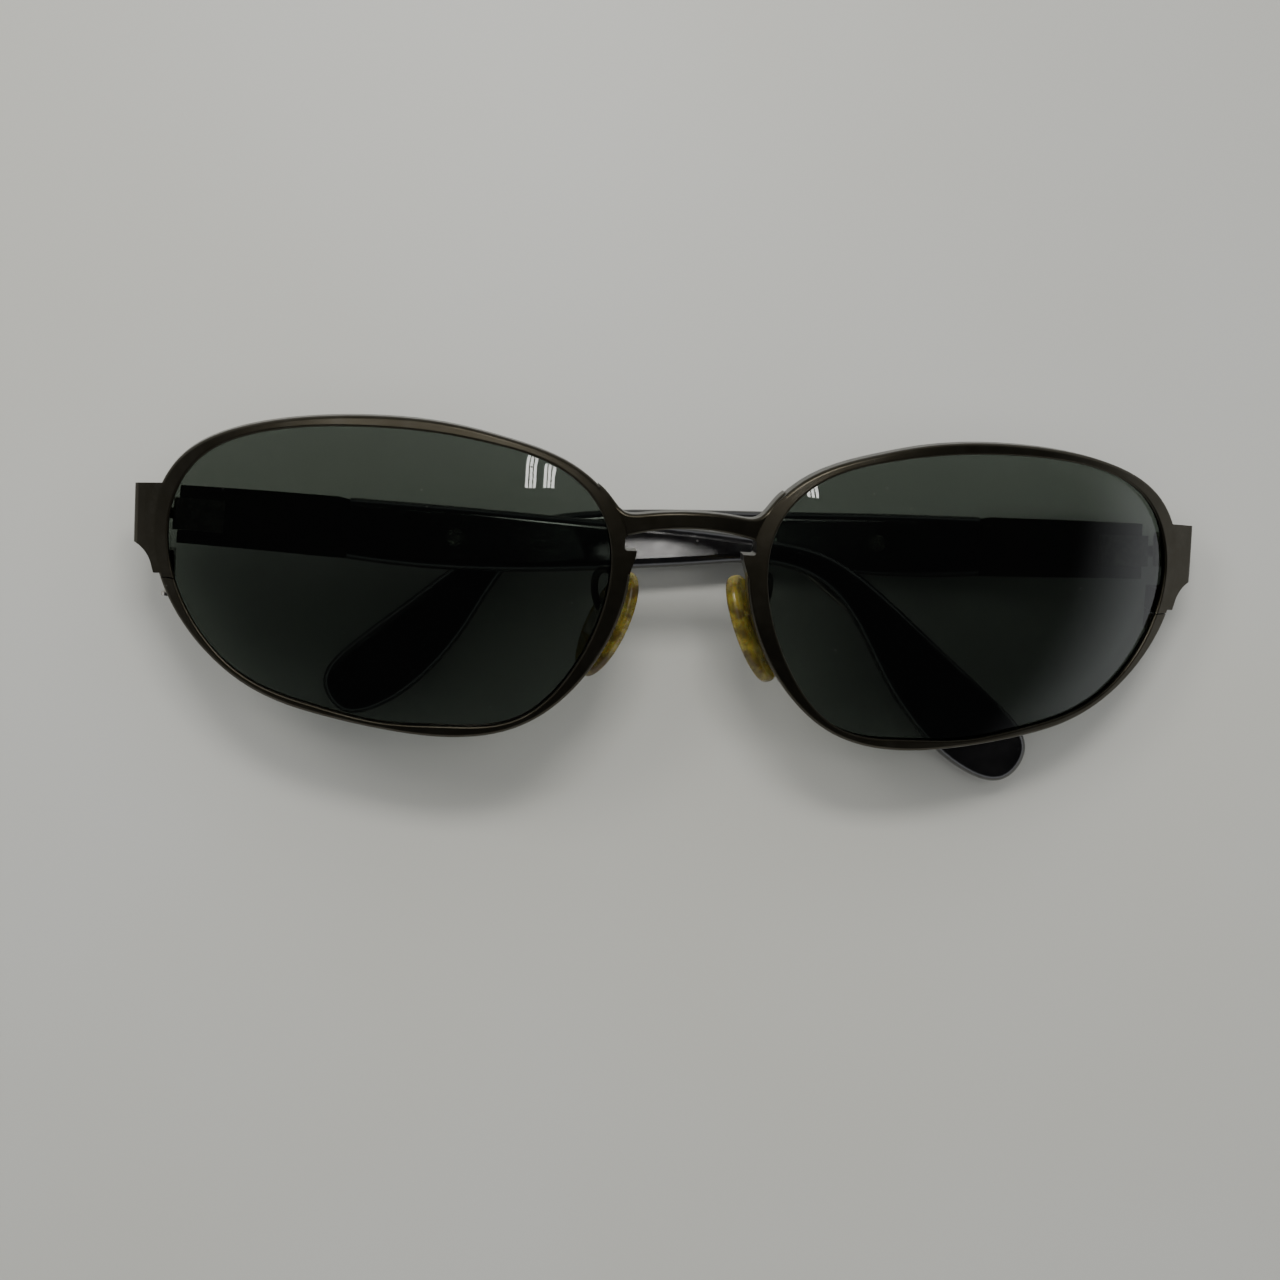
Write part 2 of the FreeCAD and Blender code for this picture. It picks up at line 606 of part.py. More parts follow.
def temple_sleeve(side):
    face = Part.Face(sleeve_outline(side))
    face.translate(Vector(0, 0, sleeve_level() - SLEEVE_THICK / 2))
    body = face.extrude(Vector(0, 0, SLEEVE_THICK))
    body = rounded(body, SLEEVE_ROUND, lambda e: e.BoundBox.ZLength < 0.1 and e.BoundBox.XLength > 20)
    body = body.cut(tang(FIT_GAP)).cut(core_wire(side, FIT_GAP))
    return body.cut(temple_screw(FIT_GAP))


# ---- how the pieces lie ----

def tab_corner(side):
    """Where an end piece turns the corner, halfway up, in the front frame."""
    across = HINGE_SIDE if side == "right" else -HINGE_SIDE
    return Vector(across, TAB_HEIGHT, surface_level(-RIM_EDGE, TAB_HEIGHT, FRONT_CURVE))


def front_turn():
    return Rotation(UP, STACK_TILT) * Rotation(ASIDE, PANTOSCOPIC)


def floor_depth():
    """Outer face of a sleeve below its hinge screw."""
    return SLEEVE_THICK / 2 - sleeve_level()


def front_place():
    """The front's place over the table, which the right sleeve lies on."""
    height = front_turn().multVec(tab_corner("right")).z
    drop = Rotation(UP, STACK_TILT).multVec(AHEAD).z * END_DEPTH
    return Placement(Vector(0, 0, floor_depth() + drop - height), front_turn())


def corner_place(side):
    """An end piece's own frame, square to the front, straight behind its corner."""
    turn = Rotation(UP, STACK_TILT)
    corner = front_place().multVec(tab_corner(side))
    return Placement(corner - turn.multVec(AHEAD) * END_DEPTH, turn)


def hinge_origin(side):
    """Middle of a hinge screw."""
    return corner_place(side).Base + droop(side).multVec(UP) * HINGE_RISE


def left_tilt():
    """The left temple's slope, which takes it over the right one."""
    height = hinge_origin("left").z - floor_depth() - SLEEVE_THICK - STACK_GAP
    return math.degrees(math.atan2(height, EAR_BEND["left"] + 12.0))


def droop(side):
    if side == "left":
        return Rotation(AHEAD, -LEFT_DROOP)
    return Rotation(AHEAD, RIGHT_DROOP)


def hinge_place(side):
    return Placement(hinge_origin(side), droop(side) * Rotation(UP, STACK_TILT))


def temple_place(side):
    if side == "left":
        return Placement(hinge_origin(side), droop(side) * Rotation(UP, left_tilt()))
    return Placement(hinge_origin(side), droop(side))


def build():
    """Every node's shape in the row's frame."""
    nodes = {}
    front = front_place()
    rims = {}
    for side in ("left", "right"):
        rims[side] = placed(handed(rim(), side), front)
        nodes[side + "_rim"] = rims[side]
        nodes[side + "_lens"] = placed(handed(lens(), side), front)
    nodes["bridge"] = placed(bridge(), front)
    groups = {"hinge_screws": [], "rim_lock_screws": [], "pad_screws": []}
    for side in ("left", "right"):
        hinge = hinge_place(side)
        temple = temple_place(side)
        tab = placed(handed(end_piece(side), side), corner_place(side)).cut(placed(handed(soft_blank(), side), front))
        nodes[side + "_end_piece"] = tab
        nodes[side + "_front_hinge"] = placed(handed(front_leaf(), side), hinge).cut(tab)
        nodes[side + "_upper_rim_lock"] = placed(handed(upper_lock(), side), front)
        nodes[side + "_lower_rim_lock"] = placed(handed(lower_lock(), side), front)
        nodes[side + "_pad_arm"] = placed(handed(pad_arm(), side), front)
        nodes[side + "_pad_box"] = placed(handed(pad_box(), side), front)
        nodes[side + "_nose_pad"] = placed(handed(nose_pad(), side), front)
        groups["hinge_screws"].append(placed(handed(hinge_screw(), side), hinge))
        groups["rim_lock_screws"].append(placed(handed(lock_screw(), side), front))
        groups["pad_screws"].append(placed(handed(pad_screw(), side), front))
        nodes[side + "_temple_hinge"] = placed(handed(temple_leaf(), side), temple)
        nodes[side + "_temple_plate"] = placed(handed(temple_plate(), side), temple)
        nodes[side + "_temple_sleeve"] = placed(handed(temple_sleeve(side), side), temple)
        nodes[side + "_core_wire"] = placed(handed(core_wire(side, 0), side), temple)
        nodes[side + "_temple_screw"] = placed(handed(temple_screw(0), side), temple)
    for name, screws in groups.items():
        nodes[name] = Part.makeCompound(screws)
    return nodes


def centring(nodes):
    """The move that puts the origin under the middle of the whole."""
    whole = Part.makeCompound(list(nodes.values())).BoundBox
    return Vector(-whole.Center.x, -whole.Center.y, -whole.ZMin)


def main():
    os.makedirs("parts", exist_ok=True)
    nodes = build()
    move = centring(nodes)
    for name, shape in nodes.items():
        shape.translate(move)
        shape.exportStep("parts/" + name + ".step")
        print(name, len(shape.Solids), round(shape.Volume, 2), shape.isValid())
    print("move", move)
    for side in ("left", "right"):
        axis = temple_place(side).Rotation.multVec(UP)
        print(side, "hinge", hinge_origin(side) + move, "axis", axis)
    print("left tilt", round(left_tilt(), 3), "front origin", front_place().Base + move)


if __name__ == "__main__":
    main()
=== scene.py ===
"""Folded metal wrap sunglasses, lying lenses up on a pale table.

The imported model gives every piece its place. This script dresses the pieces, and sets the table,
the lights and the camera.
"""
from __future__ import annotations

import logging
import math
from dataclasses import dataclass, field
from enum import Enum

import bpy
from mathutils import Matrix, Vector


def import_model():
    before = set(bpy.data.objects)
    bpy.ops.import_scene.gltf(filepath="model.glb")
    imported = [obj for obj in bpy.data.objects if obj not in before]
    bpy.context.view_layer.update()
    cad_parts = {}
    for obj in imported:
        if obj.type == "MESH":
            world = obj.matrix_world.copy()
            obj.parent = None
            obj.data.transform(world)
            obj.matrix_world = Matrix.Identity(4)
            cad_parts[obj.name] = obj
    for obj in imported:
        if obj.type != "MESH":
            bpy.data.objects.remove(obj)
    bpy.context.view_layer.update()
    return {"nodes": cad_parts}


LOG = logging.getLogger("sunglasses")

PALE_DUST = (0.36, 0.35, 0.32, 1.0)
LENS_DUST = (0.5, 0.5, 0.48, 1.0)
SLEEVE_DUST = (0.2, 0.19, 0.18, 1.0)
RUBBED_SLEEVE = (0.03, 0.028, 0.028, 1.0)
WARM_LIGHT = (1.0, 0.985, 0.95)
COOL_LIGHT = (0.97, 0.985, 1.0)
ROOM_COLOUR = (0.95, 0.97, 1.0, 1.0)


class Side(Enum):
    """The two sides, named as seen from in front."""

    LEFT = "left"
    RIGHT = "right"


class Socket(Enum):
    """Kinds of node group socket."""

    FLOAT = "NodeSocketFloat"
    COLOR = "NodeSocketColor"
    VECTOR = "NodeSocketVector"


# ---- shader building blocks ----

@dataclass
class Recipe:
    """A small helper that adds and links shader nodes in one tree."""

    tree: bpy.types.NodeTree

    def add(self, kind: str, **settings: object) -> bpy.types.Node:
        """Add a node.

        Args:
            kind: Blender's node type.
            **settings: Properties to set on the node.

        Returns:
            The new node.
        """
        node = self.tree.nodes.new(kind)
        for name, value in settings.items():
            setattr(node, name, value)
        return node

    def feed(self, target: bpy.types.NodeSocket, source: object) -> None:
        """Link a socket, or set a plain value.

        Args:
            target: The input socket.
            source: An output socket, or a value.
        """
        if isinstance(source, bpy.types.NodeSocket):
            self.tree.links.new(source, target)
        else:
            target.default_value = source

    def math(self, operation: str, first: object, second: object = 0.0) -> bpy.types.NodeSocket:
        """Combine two values.

        Args:
            operation: The Math node's operation.
            first: A socket or number.
            second: A socket or number.

        Returns:
            The result.
        """
        node = self.add("ShaderNodeMath", operation=operation)
        self.feed(node.inputs[0], first)
        self.feed(node.inputs[1], second)
        return node.outputs[0]

    def remap(self, value: object, low: float, high: float, to_low: float = 0.0,
              to_high: float = 1.0) -> bpy.types.NodeSocket:
        """Map a range smoothly onto another.

        Args:
            value: The value to map.
            low: Start of its range.
            high: End of its range.
            to_low: What low becomes.
            to_high: What high becomes.

        Returns:
            The mapped value.
        """
        node = self.add("ShaderNodeMapRange", interpolation_type="SMOOTHSTEP")
        self.feed(node.inputs["Value"], value)
        for name, number in (("From Min", low), ("From Max", high), ("To Min", to_low), ("To Max", to_high)):
            node.inputs[name].default_value = number
        return node.outputs["Result"]

    def noise(self, vector: object, scale: object, detail: float = 3.0,
              roughness: float = 0.55) -> bpy.types.NodeSocket:
        """Cloudy noise.

        Args:
            vector: Where to sample it.
            scale: Its scale.
            detail: Number of octaves.
            roughness: Strength of the finer octaves.

        Returns:
            The noise value.
        """
        node = self.add("ShaderNodeTexNoise")
        self.feed(node.inputs["Vector"], vector)
        self.feed(node.inputs["Scale"], scale)
        node.inputs["Detail"].default_value = detail
        node.inputs["Roughness"].default_value = roughness
        return node.outputs["Fac"]

    def blend(self, amount: object, first: object, second: object) -> bpy.types.NodeSocket:
        """Mix two colours.

        Args:
            amount: How much of the second.
            first: A colour.
            second: Another colour.

        Returns:
            The mixed colour.
        """
        node = self.add("ShaderNodeMix", data_type="RGBA")
        self.feed(node.inputs[0], amount)
        self.feed(node.inputs[6], first)
        self.feed(node.inputs[7], second)
        return node.outputs[2]


def open_group(name: str, inputs: dict[str, tuple[Socket, object]], outputs: dict[str, Socket],
               ) -> tuple[bpy.types.NodeTree, Recipe, bpy.types.Node, bpy.types.Node]:
    """Start a shader node group.

    Args:
        name: The group's name.
        inputs: Socket kinds and defaults by name.
        outputs: Socket kinds by name.

    Returns:
        The group, a recipe for it, its input node and its output node.
    """
    tree = bpy.data.node_groups.new(name, "ShaderNodeTree")
    for label, (kind, default) in inputs.items():
        item = tree.interface.new_socket(name=label, in_out="INPUT", socket_type=kind.value)
        if default is not None:
            item.default_value = default
    for label, kind in outputs.items():
        tree.interface.new_socket(name=label, in_out="OUTPUT", socket_type=kind.value)
    recipe = Recipe(tree)
    return tree, recipe, recipe.add("NodeGroupInput"), recipe.add("NodeGroupOutput")


class SurfaceEffects:
    """The node groups that several finishes share."""

    def __init__(self) -> None:
        """Build each group once."""
        self.edge_wear = self._edge_wear()
        self.dust = self._dust()
        self.fine_grain = self._fine_grain()

    @staticmethod
    def _edge_wear() -> bpy.types.NodeTree:
        """A mask that brightens worn convex edges, broken up by noise.

        Returns:
            The group.
        """
        tree, recipe, start, end = open_group(
            "edge wear", {"Amount": (Socket.FLOAT, 0.5), "Break-up Scale": (Socket.FLOAT, 900.0)},
            {"Mask": Socket.FLOAT})
        place = recipe.add("ShaderNodeTexCoord").outputs["Object"]
        convex = recipe.remap(recipe.add("ShaderNodeNewGeometry").outputs["Pointiness"], 0.51, 0.60)
        patches = recipe.remap(recipe.noise(place, start.outputs["Break-up Scale"], 4.0, 0.65), 0.42, 0.62)
        worn = recipe.math("MULTIPLY", convex, patches)
        recipe.feed(end.inputs["Mask"], recipe.math("MULTIPLY", worn, start.outputs["Amount"]))
        return tree

    @staticmethod
    def _dust() -> bpy.types.NodeTree:
        """A mask of specks and of a thin film that settles on upward faces.

        Returns:
            The group.
        """
        tree, recipe, start, end = open_group(
            "dust", {"Film": (Socket.FLOAT, 0.2), "Specks": (Socket.FLOAT, 0.5)},
            {"Mask": Socket.FLOAT})
        place = recipe.add("ShaderNodeTexCoord").outputs["Object"]
        normal = recipe.add("ShaderNodeSeparateXYZ")
        recipe.feed(normal.inputs[0], recipe.add("ShaderNodeNewGeometry").outputs["Normal"])
        upward = recipe.remap(normal.outputs["Z"], 0.1, 0.9)
        cloud = recipe.remap(recipe.noise(place, 260.0, 4.0), 0.4, 0.75)
        film = recipe.math("MULTIPLY", recipe.math("MULTIPLY", cloud, upward), start.outputs["Film"])
        cells = recipe.add("ShaderNodeTexVoronoi", feature="F1")
        recipe.feed(cells.inputs["Vector"], place)
        cells.inputs["Scale"].default_value = 420.0
        near = recipe.remap(cells.outputs["Distance"], 0.05, 0.085, 1.0, 0.0)
        pick = recipe.remap(recipe.noise(place, 130.0, 1.0), 0.58, 0.62)
        specks = recipe.math("MULTIPLY", recipe.math("MULTIPLY", near, pick), start.outputs["Specks"])
        recipe.feed(end.inputs["Mask"], recipe.math("MAXIMUM", film, specks))
        return tree

    @staticmethod
    def _fine_grain() -> bpy.types.NodeTree:
        """Bump for a sprayed or brushed skin.

        Returns:
            The group.
        """
        tree, recipe, start, end = open_group(
            "fine grain", {"Scale": (Socket.FLOAT, 4000.0), "Stretch": (Socket.FLOAT, 1.0),
                           "Strength": (Socket.FLOAT, 0.1)},
            {"Normal": Socket.VECTOR, "Value": Socket.FLOAT})
        place = recipe.add("ShaderNodeTexCoord").outputs["Object"]
        mapping = recipe.add("ShaderNodeVectorMath", operation="MULTIPLY")
        stretch = recipe.add("ShaderNodeCombineXYZ")
        recipe.feed(stretch.inputs[0], start.outputs["Stretch"])
        stretch.inputs[1].default_value = 1.0
        stretch.inputs[2].default_value = 1.0
        recipe.feed(mapping.inputs[0], place)
        recipe.feed(mapping.inputs[1], stretch.outputs[0])
        grain = recipe.noise(mapping.outputs[0], start.outputs["Scale"], 2.0)
        bump = recipe.add("ShaderNodeBump")
        bump.inputs["Distance"].default_value = 0.00004
        recipe.feed(bump.inputs["Strength"], start.outputs["Strength"])
        recipe.feed(bump.inputs["Height"], grain)
        recipe.feed(end.inputs["Normal"], bump.outputs["Normal"])
        recipe.feed(end.inputs["Value"], grain)
        return tree


def new_material(name: str) -> tuple[bpy.types.Material, Recipe, bpy.types.Node]:
    """Start a material with a Principled shader.

    Args:
        name: The material's name.

    Returns:
        The material, a recipe for its tree, and its shader.
    """
    material = bpy.data.materials.new(name)
    material.use_nodes = True
    return material, Recipe(material.node_tree), material.node_tree.nodes["Principled BSDF"]


def use_group(recipe: Recipe, group: bpy.types.NodeTree, **values: float) -> bpy.types.Node:
    """Place a node group in a material.

    Args:
        recipe: The material's recipe.
        group: The group.
        **values: Input values, with underscores for spaces.

    Returns:
        The group node.
    """
    node = recipe.add("ShaderNodeGroup", node_tree=group)
    for name, value in values.items():
        node.inputs[name.replace("_", " ")].default_value = value
    return node


@dataclass(frozen=True)
class MetalFinish:
    """Lacquered or bare metal with worn edges."""

    name: str
    base: tuple[float, float, float, float]
    worn: tuple[float, float, float, float]
    roughness: float
    roughness_spread: float
    metallic: float = 1.0
    coat: float = 0.0
    wear: float = 0.6
    grain: float = 0.12
    grain_scale: float = 4200.0
    grain_stretch: float = 1.0
    dust: float = 0.03
    drift: float = 0.88

    def make(self, effects: SurfaceEffects) -> bpy.types.Material:
        """Build the material.

        Args:
            effects: The shared node groups.

        Returns:
            The material.
        """
        material, recipe, shader = new_material(self.name)
        place = recipe.add("ShaderNodeTexCoord").outputs["Object"]
        wear = use_group(recipe, effects.edge_wear, Amount=self.wear)
        dust = use_group(recipe, effects.dust, Film=self.dust, Specks=0.2)
        grain = use_group(recipe, effects.fine_grain, Scale=self.grain_scale, Stretch=self.grain_stretch,
                          Strength=self.grain)
        drift = recipe.remap(recipe.noise(place, 60.0, 3.0), 0.3, 0.7)
        darker = tuple(channel * self.drift for channel in self.base[:3]) + (1.0,)
        colour = recipe.blend(drift, darker, self.base)
        colour = recipe.blend(wear.outputs["Mask"], colour, self.worn)
        colour = recipe.blend(dust.outputs["Mask"], colour, PALE_DUST)
        recipe.feed(shader.inputs["Base Color"], colour)
        uneven = recipe.remap(recipe.noise(place, 700.0, 4.0), 0.3, 0.75, self.roughness,
                              self.roughness + self.roughness_spread)
        recipe.feed(shader.inputs["Roughness"], recipe.math("ADD", uneven, recipe.math(
            "MULTIPLY", dust.outputs["Mask"], 0.25)))
        shader.inputs["Metallic"].default_value = self.metallic
        shader.inputs["Coat Weight"].default_value = self.coat
        shader.inputs["Coat Roughness"].default_value = 0.18
        recipe.feed(shader.inputs["Normal"], grain.outputs["Normal"])
        return material


@dataclass(frozen=True)
class LensFinish:
    """Dark tinted lens with a few specks of dust."""

    name: str = "tinted lens"
    tint: tuple[float, float, float, float] = (0.10, 0.12, 0.102, 1.0)

    def make(self, effects: SurfaceEffects) -> bpy.types.Material:
        """Build the material.

        Args:
            effects: The shared node groups.

        Returns:
            The material.
        """
        material, recipe, shader = new_material(self.name)
        place = recipe.add("ShaderNodeTexCoord").outputs["Object"]
        dust = use_group(recipe, effects.dust, Film=0.004, Specks=0.4)
        recipe.feed(shader.inputs["Base Color"], recipe.blend(
            dust.outputs["Mask"], self.tint, LENS_DUST))
        smear = recipe.remap(recipe.noise(place, 60.0, 4.0, 0.6), 0.45, 0.8, 0.0, 0.035)
        recipe.feed(shader.inputs["Roughness"], recipe.math("ADD", smear, recipe.math(
            "MULTIPLY", dust.outputs["Mask"], 0.5)))
        shader.inputs["Transmission Weight"].default_value = 1.0
        shader.inputs["IOR"].default_value = 1.5
        return material


@dataclass(frozen=True)
class PlasticFinish:
    """Polished plastic with faint wiping scratches."""

    name: str
    base: tuple[float, float, float, float]
    roughness: float
    coat: float = 0.4

    def make(self, effects: SurfaceEffects) -> bpy.types.Material:
        """Build the material.

        Args:
            effects: The shared node groups.

        Returns:
            The material.
        """
        material, recipe, shader = new_material(self.name)
        place = recipe.add("ShaderNodeTexCoord").outputs["Object"]
        wear = use_group(recipe, effects.edge_wear, Amount=0.35)
        dust = use_group(recipe, effects.dust, Film=0.04, Specks=0.3)
        grain = use_group(recipe, effects.fine_grain, Scale=2200.0, Stretch=0.15, Strength=0.05)
        colour = recipe.blend(wear.outputs["Mask"], self.base, RUBBED_SLEEVE)
        colour = recipe.blend(dust.outputs["Mask"], colour, SLEEVE_DUST)
        recipe.feed(shader.inputs["Base Color"], colour)
        uneven = recipe.remap(recipe.noise(place, 300.0, 5.0, 0.65), 0.35, 0.75, self.roughness,
                              self.roughness + 0.12)
        recipe.feed(shader.inputs["Roughness"], uneven)
        shader.inputs["Coat Weight"].default_value = self.coat
        shader.inputs["Coat Roughness"].default_value = 0.08
        recipe.feed(shader.inputs["Normal"], grain.outputs["Normal"])
        return material


@dataclass(frozen=True)
class PadFinish:
    """Clear silicone gone amber with age, browner in streaks."""

    name: str = "amber silicone"
    fresh: tuple[float, float, float, float] = (0.40, 0.33, 0.05, 1.0)
    aged: tuple[float, float, float, float] = (0.09, 0.06, 0.012, 1.0)

    def make(self, effects: SurfaceEffects) -> bpy.types.Material:
        """Build the material.

        Args:
            effects: The shared node groups.

        Returns:
            The material.
        """
        material, recipe, shader = new_material(self.name)
        place = recipe.add("ShaderNodeTexCoord").outputs["Object"]
        grain = use_group(recipe, effects.fine_grain, Scale=1500.0, Stretch=1.0, Strength=0.25)
        streaks = recipe.remap(recipe.noise(place, 420.0, 5.0, 0.6), 0.38, 0.66)
        colour = recipe.blend(streaks, self.fresh, self.aged)
        recipe.feed(shader.inputs["Base Color"], colour)
        recipe.feed(shader.inputs["Roughness"], recipe.remap(streaks, 0.0, 1.0, 0.18, 0.4))
        shader.inputs["Transmission Weight"].default_value = 0.45
        shader.inputs["IOR"].default_value = 1.41
        shader.inputs["Subsurface Weight"].default_value = 0.3
        shader.inputs["Subsurface Scale"].default_value = 0.002
        recipe.feed(shader.inputs["Normal"], grain.outputs["Normal"])
        return material


@dataclass(frozen=True)
class TableFinish:
    """Pale painted table top."""

    name: str = "pale table"
    base: tuple[float, float, float, float] = (0.60, 0.60, 0.565, 1.0)
    yellowing: tuple[float, float, float] = (0.975, 0.965, 0.93)

    def make(self, effects: SurfaceEffects) -> bpy.types.Material:
        """Build the material.

        Args:
            effects: The shared node groups.

        Returns:
            The material.
        """
        material, recipe, shader = new_material(self.name)
        place = recipe.add("ShaderNodeTexCoord").outputs["Object"]
        cloud = recipe.remap(recipe.noise(place, 9.0, 3.0), 0.3, 0.7)
        warmer = tuple(channel * share for channel, share in zip(self.base, self.yellowing)) + (1.0,)
        recipe.feed(shader.inputs["Base Color"], recipe.blend(cloud, self.base, warmer))
        shader.inputs["Roughness"].default_value = 0.42
        grain = use_group(recipe, effects.fine_grain, Scale=1400.0, Stretch=1.0, Strength=0.06)
        recipe.feed(shader.inputs["Normal"], grain.outputs["Normal"])
        return material


@dataclass
class Finishes:
    """Every material of the scene."""

    effects: SurfaceEffects
    lacquer: bpy.types.Material = field(init=False)
    hinge_metal: bpy.types.Material = field(init=False)
    screw_metal: bpy.types.Material = field(init=False)
    lens: bpy.types.Material = field(init=False)
    sleeve: bpy.types.Material = field(init=False)
    pad: bpy.types.Material = field(init=False)
    table: bpy.types.Material = field(init=False)

    def __post_init__(self) -> None:
        """Make the materials."""
        self.lacquer = MetalFinish(
            "brown gunmetal lacquer", (0.046, 0.041, 0.029, 1.0), (0.10, 0.09, 0.072, 1.0), 0.33, 0.05,
            coat=0.1, wear=0.1, grain=0.06).make(self.effects)
        self.hinge_metal = MetalFinish(
            "dull nickel silver", (0.22, 0.20, 0.17, 1.0), (0.45, 0.42, 0.36, 1.0), 0.34, 0.16,
            ).make(self.effects)
        self.screw_metal = MetalFinish(
            "turned steel", (0.42, 0.40, 0.36, 1.0), (0.62, 0.60, 0.55, 1.0), 0.22, 0.12).make(self.effects)
        self.lens = LensFinish().make(self.effects)
        self.sleeve = PlasticFinish("black acetate", (0.0035, 0.0032, 0.0038, 1.0), 0.12).make(self.effects)
        self.pad = PadFinish().make(self.effects)
        self.table = TableFinish().make(self.effects)


def dress(piece: bpy.types.Object, material: bpy.types.Material) -> None:
    """Give a piece one material.

    Args:
        piece: The piece.
        material: Its material.
    """
    if piece.material_slots:
        for holder in piece.material_slots:
            holder.material = material
    else:
        piece.data.materials.append(material)
    LOG.info("%s wears %s", piece.name, material.name)


@dataclass
class Front:
    """Rims, lenses, bridge, end pieces, hinges, rim locks and nose pads."""

    nodes: dict[str, bpy.types.Object]
    finishes: Finishes

    def dress(self) -> None:
        """Dress every piece of the front."""
        for side in Side:
            for part in ("rim", "end_piece", "upper_rim_lock", "lower_rim_lock", "pad_arm"):
                dress(self.nodes[f"{side.value}_{part}"], self.finishes.lacquer)
            for part in ("front_hinge", "pad_box"):
                dress(self.nodes[f"{side.value}_{part}"], self.finishes.hinge_metal)
            dress(self.nodes[f"{side.value}_lens"], self.finishes.lens)
            dress(self.nodes[f"{side.value}_nose_pad"], self.finishes.pad)
        dress(self.nodes["bridge"], self.finishes.lacquer)
        for screws in ("hinge_screws", "rim_lock_screws", "pad_screws"):
            dress(self.nodes[screws], self.finishes.screw_metal)


@dataclass
class Temple:
    """One temple: metal plate, hinge leaf, sleeve, core wire and screw."""

    side: Side
    nodes: dict[str, bpy.types.Object]
    finishes: Finishes

    def dress(self) -> None:
        """Dress every piece of the temple."""
        prefix = self.side.value
        dress(self.nodes[f"{prefix}_temple_plate"], self.finishes.lacquer)
        dress(self.nodes[f"{prefix}_temple_hinge"], self.finishes.hinge_metal)
        dress(self.nodes[f"{prefix}_temple_sleeve"], self.finishes.sleeve)
        dress(self.nodes[f"{prefix}_core_wire"], self.finishes.hinge_metal)
        dress(self.nodes[f"{prefix}_temple_screw"], self.finishes.screw_metal)


@dataclass
class Table:
    """The table top that the glasses lie on."""

    finishes: Finishes
    half_size: float = 0.9
    level: float = -0.00005

    def build(self) -> bpy.types.Object:
        """Make the table top.

        Returns:
            The table top.
        """
        mesh = bpy.data.meshes.new("table_top")
        half = self.half_size
        corners = [(-half, -half, self.level), (half, -half, self.level),
                   (half, half, self.level), (-half, half, self.level)]
        mesh.from_pydata(corners, [], [(0, 1, 2, 3)])
        top = bpy.data.objects.new("table_top", mesh)
        bpy.context.scene.collection.objects.link(top)
        mesh.materials.append(self.finishes.table)
        return top


@dataclass(frozen=True)
class Window:
    """A small lit window with a slatted blind, seen only as a glint in a lens."""

    name: str
    place: tuple[float, float, float]
    aim: tuple[float, float, float]
    size: tuple[float, float]


WINDOWS = (
    Window("near window", (0.0453, 0.036, 0.4758), (-0.0198, 0.0151, 0.031), (0.0189, 0.047)),
    Window("far window", (0.0736, 0.0302, 0.4713), (-0.0175, 0.0146, 0.0309), (0.019, 0.0328)),
)


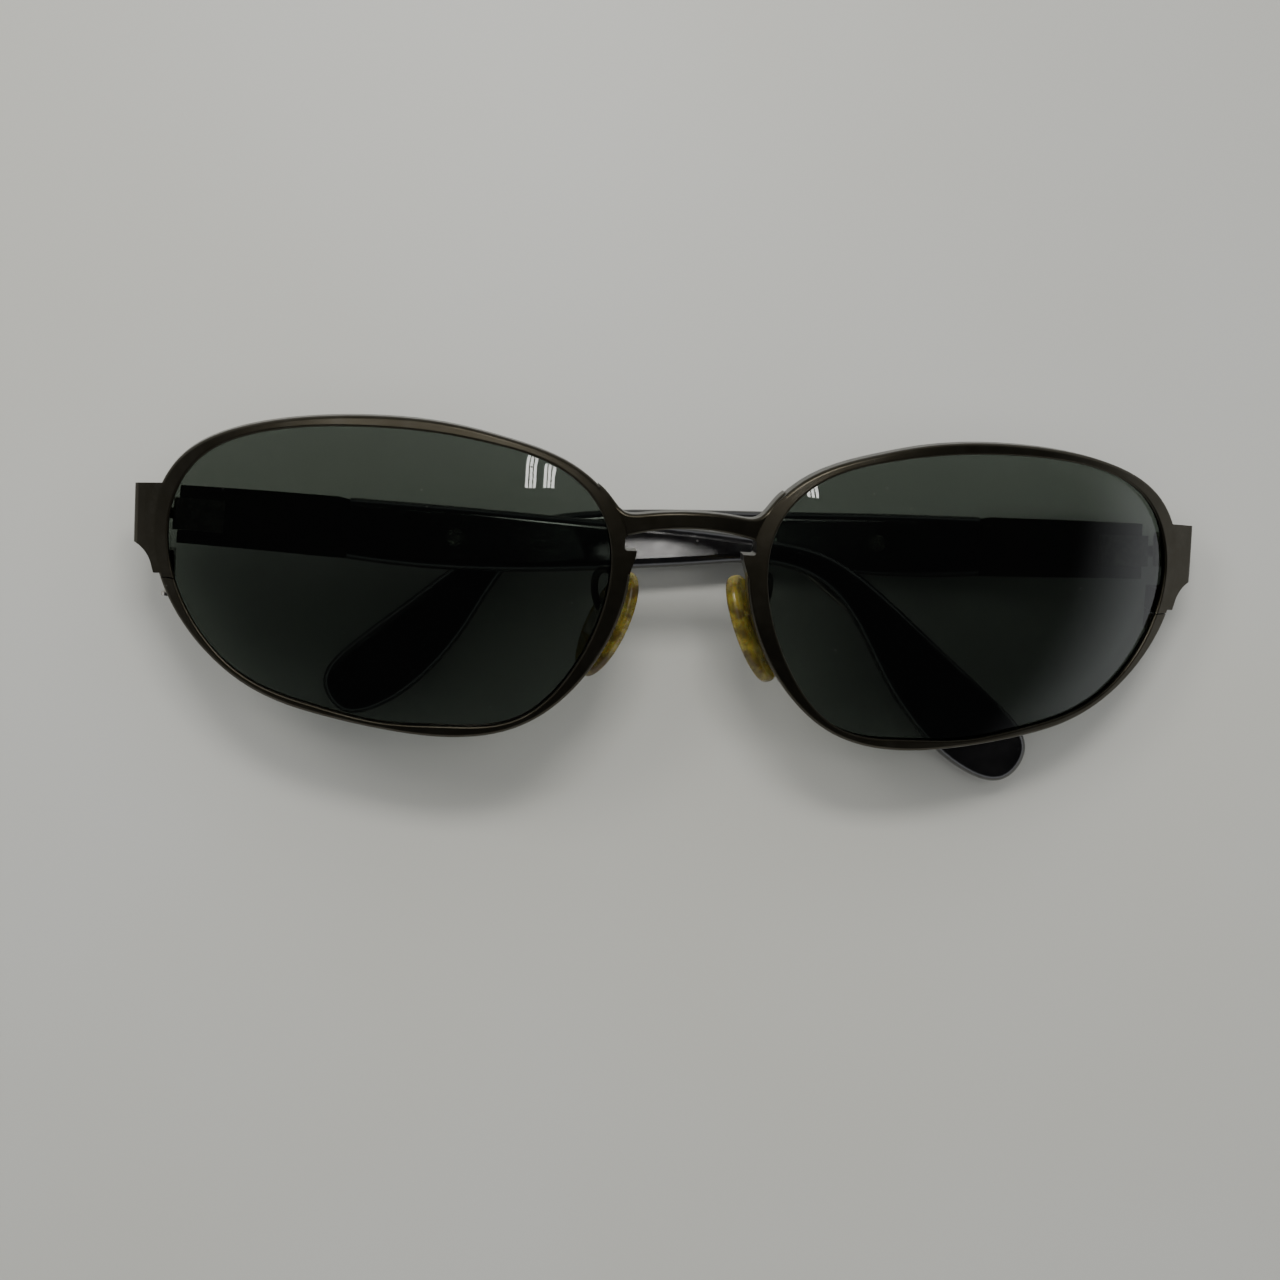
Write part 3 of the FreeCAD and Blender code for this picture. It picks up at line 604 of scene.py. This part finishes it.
@dataclass
class Studio:
    """Two soft keys, an even fill, lit windows and the room round them."""

    key_power: float = 0.8
    key_size: tuple[float, float] = (0.15, 0.06)
    key_place: tuple[float, float, float] = (-0.01, 0.19, 0.44)
    side_power: float = 0.35
    side_size: tuple[float, float] = (0.12, 0.12)
    side_place: tuple[float, float, float] = (-0.24, 0.17, 0.42)
    fill_power: float = 8.0
    fill_size: tuple[float, float] = (1.6, 1.6)
    fill_place: tuple[float, float, float] = (0.0, 0.35, 0.9)
    blind_radiance: float = 20.0
    blind_gap: float = 0.35
    slats: int = 3
    wall_strength: float = 1.3
    ceiling_strength: float = 0.04
    wall_top: float = 0.1
    ceiling_edge: float = 0.5

    def area(self, name: str, place: tuple[float, float, float], aim: tuple[float, float, float],
             size: tuple[float, float], power: float,
             colour: tuple[float, float, float] = WARM_LIGHT) -> bpy.types.Object:
        """Add a soft rectangular light.

        Args:
            name: The light's name.
            place: Where it hangs.
            aim: The point it faces.
            size: Its width and height.
            power: Its power in watts.
            colour: Its colour.

        Returns:
            The light.
        """
        lamp = bpy.data.lights.new(name, "AREA")
        lamp.shape = "RECTANGLE"
        lamp.size, lamp.size_y = size
        lamp.energy = power
        lamp.color = colour
        holder = bpy.data.objects.new(name, lamp)
        bpy.context.scene.collection.objects.link(holder)
        back = (Vector(place) - Vector(aim)).normalized()
        along = Vector((0.0, 1.0, 0.0)).cross(back).normalized()
        turn = Matrix((along, back.cross(along), back)).transposed().to_4x4()
        holder.matrix_world = Matrix.Translation(Vector(place)) @ turn
        return holder

    def blind(self, window: Window) -> None:
        """Hang a small lit window, as one light for each gap of its blind.

        Args:
            window: The window.
        """
        width, height = window.size
        across, along, up = window.place
        pitch = width / self.slats
        slat = (pitch * (1.0 - self.blind_gap), height)
        power = self.blind_radiance * math.pi * slat[0] * slat[1]
        for number in range(self.slats):
            shift = (number - (self.slats - 1) / 2) * pitch
            place = (across + shift, along, up)
            self.area(f"{window.name} slat {number + 1}", place, window.aim, slat, power)

    def build(self) -> None:
        """Add the lights and the room."""
        middle = (0.0, 0.0, 0.0)
        self.area("key", self.key_place, middle, self.key_size, self.key_power)
        self.area("side key", self.side_place, middle, self.side_size, self.side_power)
        fill = self.area("fill", self.fill_place, middle, self.fill_size, self.fill_power, COOL_LIGHT)
        fill.visible_glossy = False
        fill.visible_transmission = False
        for window in WINDOWS:
            self.blind(window)
        self.room()

    def room(self) -> None:
        """Fill the room: bright walls all round under a dark ceiling."""
        world = bpy.data.worlds.new("room")
        bpy.context.scene.world = world
        world.use_nodes = True
        recipe = Recipe(world.node_tree)
        ray = recipe.add("ShaderNodeSeparateXYZ")
        recipe.feed(ray.inputs[0], recipe.add("ShaderNodeTexCoord").outputs["Generated"])
        backdrop = world.node_tree.nodes["Background"]
        backdrop.inputs["Color"].default_value = ROOM_COLOUR
        recipe.feed(backdrop.inputs["Strength"], recipe.remap(
            ray.outputs["Z"], self.wall_top, self.ceiling_edge, self.wall_strength,
            self.ceiling_strength))


@dataclass
class Viewpoint:
    """The camera that looks down on the glasses."""

    place: tuple[float, float, float] = (-0.02472, -0.0056, 0.34727)
    lean: float = -3.52
    roll: float = 1.97
    field_of_view: float = 28.76

    def build(self) -> bpy.types.Object:
        """Add the camera.

        Returns:
            The camera.
        """
        lens = bpy.data.cameras.new("viewpoint")
        lens.sensor_width = 36.0
        lens.angle = math.radians(self.field_of_view)
        lens.clip_start = 0.01
        camera = bpy.data.objects.new("viewpoint", lens)
        bpy.context.scene.collection.objects.link(camera)
        lean = Matrix.Rotation(math.radians(self.lean), 4, "Y")
        roll = Matrix.Rotation(math.radians(self.roll), 4, "Z")
        camera.matrix_world = Matrix.Translation(Vector(self.place)) @ (lean @ roll)
        bpy.context.scene.camera = camera
        return camera


def main() -> None:
    """Build and dress the scene."""
    logging.basicConfig(level=logging.INFO, format="%(name)s: %(message)s")
    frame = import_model()
    finishes = Finishes(SurfaceEffects())
    Front(frame["nodes"], finishes).dress()
    for side in Side:
        Temple(side, frame["nodes"], finishes).dress()
    Table(finishes).build()
    Studio().build()
    Viewpoint().build()


if __name__ == "__main__":
    main()
